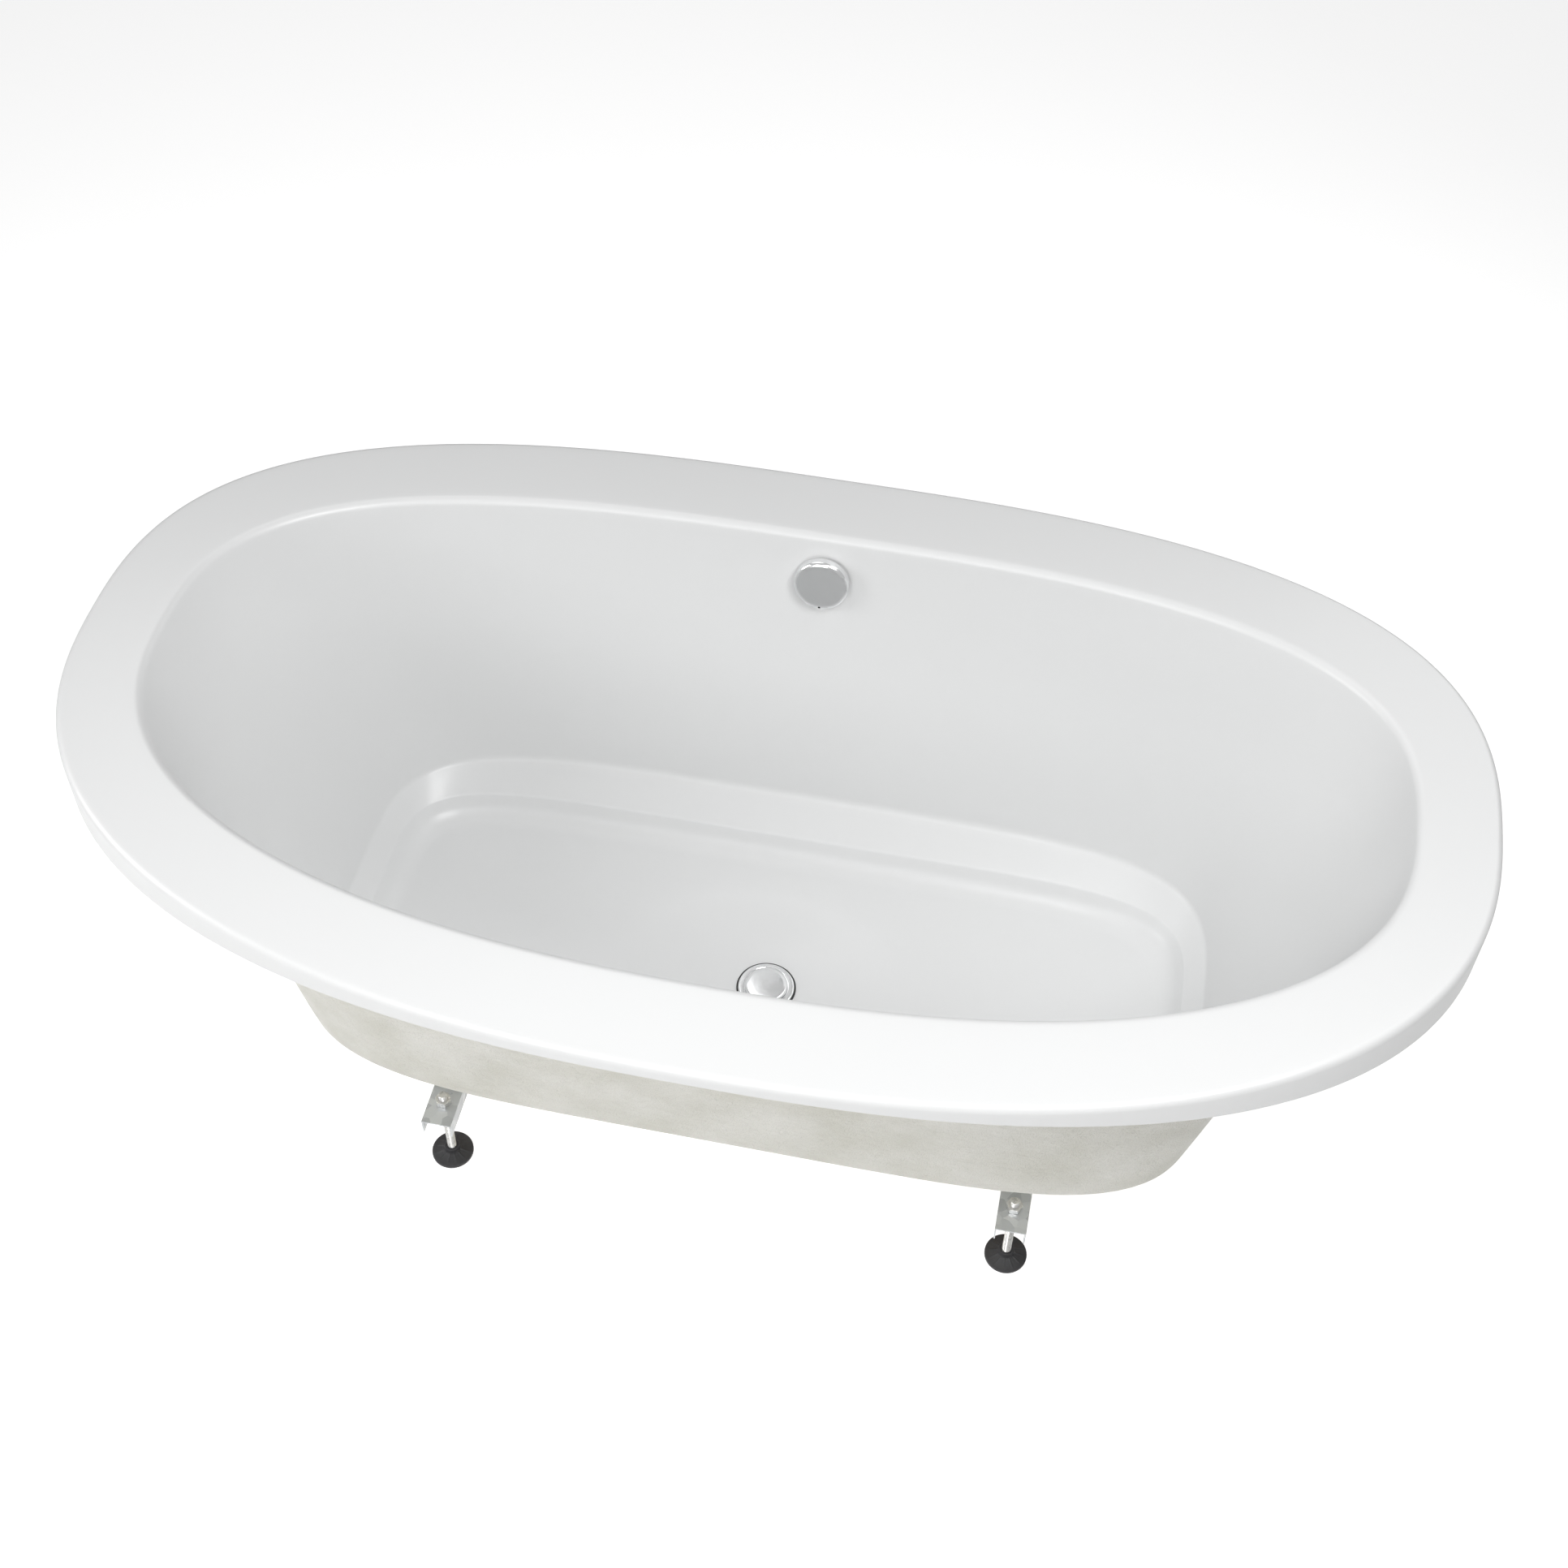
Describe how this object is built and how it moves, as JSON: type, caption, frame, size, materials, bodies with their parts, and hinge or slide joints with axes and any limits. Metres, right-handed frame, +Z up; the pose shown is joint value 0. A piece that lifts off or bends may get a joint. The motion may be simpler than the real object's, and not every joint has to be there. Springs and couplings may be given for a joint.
{
  "type": "oval bathtub",
  "caption": "Oval acrylic bathtub with a wide flat rim, turned-down lip, rotary overflow and pop-up waste, on an adjustable steel cradle with trap.",
  "frame": {"origin": "on the floor under the middle of the bath, below the drain's centre", "axes": "+X along the bath's length, +Y towards the wall with the overflow, +Z up"},
  "size_m": [1.7, 0.96, 0.694],
  "materials": {
    "acrylic": "gloss white sanitary acrylic, vacuum formed",
    "laminate": "glass-fibre reinforced resin, sprayed and rolled, pale straw white",
    "chipboard": "resin-sealed chipboard",
    "galvanised": "galvanised pressed steel",
    "zinc": "bright zinc-plated steel",
    "foot_plastic": "black moulded nylon",
    "chrome": "polished chrome plate",
    "seal_rubber": "black EPDM rubber",
    "pipe_plastic": "white polypropylene",
    "fitting_plastic": "black ABS",
    "hose_plastic": "grey flexible polyethylene",
    "brass": "turned brass",
    "cable_cover": "black PVC cable sheath",
    "stainless": "stainless steel"
  },
  "bodies": {
    "bath": {"bath_shell": "acrylic", "reinforcement_laminate": "laminate", "base_board_left": "chipboard", "base_board_right": "chipboard", "crossbar_left": "galvanised", "crossbar_right": "galvanised", "board_screws": "zinc", "bar_nuts": "zinc", "flange_gasket": "seal_rubber", "waste_flange": "chrome", "body_gasket": "seal_rubber", "waste_body": "fitting_plastic", "trap_inlet_nut": "pipe_plastic", "trap_bend": "pipe_plastic", "trap_joint_nut": "pipe_plastic", "outlet_elbow": "pipe_plastic", "outlet_nut": "pipe_plastic", "outlet_pipe": "pipe_plastic", "cleaning_cap": "pipe_plastic", "overflow_gasket": "seal_rubber", "clamp_plate": "stainless", "clamp_screws": "stainless", "housing_gasket": "seal_rubber", "overflow_housing": "fitting_plastic", "overflow_hose": "hose_plastic", "hose_clamp_upper": "fitting_plastic", "hose_clamp_lower": "fitting_plastic", "cable_sheath": "cable_cover", "cable_clips": "fitting_plastic"},
    "knob": {"overflow_knob": "chrome", "knob_spindle": "brass", "cable_drum": "brass"},
    "plug": {"plug_cap": "chrome", "plug_stem": "stainless", "plug_seal": "seal_rubber"},
    "lever": {"lifter_lever": "brass"},
    "wire": {"inner_wire": "stainless"},
    "foot_front_left": {"foot_rod_front_left": "zinc", "foot_pad_front_left": "foot_plastic"},
    "foot_back_left": {"foot_rod_back_left": "zinc", "foot_pad_back_left": "foot_plastic"},
    "foot_front_right": {"foot_rod_front_right": "zinc", "foot_pad_front_right": "foot_plastic"},
    "foot_back_right": {"foot_rod_back_right": "zinc", "foot_pad_back_right": "foot_plastic"}
  },
  "joints": [
    {"name": "knob_turn", "type": "hinge", "parent": "bath", "child": "knob", "pos_m": [0, 0.34972, 0.579], "axis": [0, -0.9851, 0.1721], "range_deg": [0, 90]},
    {"name": "plug_lift", "type": "slide", "parent": "bath", "child": "plug", "axis": [0, 0, 1], "range_m": [0, 0.01]},
    {"name": "lever_turn", "type": "hinge", "parent": "bath", "child": "lever", "pos_m": [0, -0.02, 0.094], "axis": [1, 0, 0], "range_deg": [0, 30]},
    {"name": "wire_pull", "type": "slide", "parent": "bath", "child": "wire", "axis": [0, 1, 0], "range_m": [0, 0.01]},
    {"name": "foot_front_left_screw", "type": "slide", "parent": "bath", "child": "foot_front_left", "axis": [0, 0, 1], "range_m": [-0.015, 0.01]},
    {"name": "foot_back_left_screw", "type": "slide", "parent": "bath", "child": "foot_back_left", "axis": [0, 0, 1], "range_m": [-0.015, 0.01]},
    {"name": "foot_front_right_screw", "type": "slide", "parent": "bath", "child": "foot_front_right", "axis": [0, 0, 1], "range_m": [-0.015, 0.01]},
    {"name": "foot_back_right_screw", "type": "slide", "parent": "bath", "child": "foot_back_right", "axis": [0, 0, 1], "range_m": [-0.015, 0.01]}
  ],
  "couplings": [
    {"joint": "plug_lift", "follows": "knob_turn", "m_per_rad": 0.0063},
    {"joint": "lever_turn", "follows": "knob_turn", "ratio": 0.3333},
    {"joint": "wire_pull", "follows": "knob_turn", "m_per_rad": 0.0063}
  ]
}
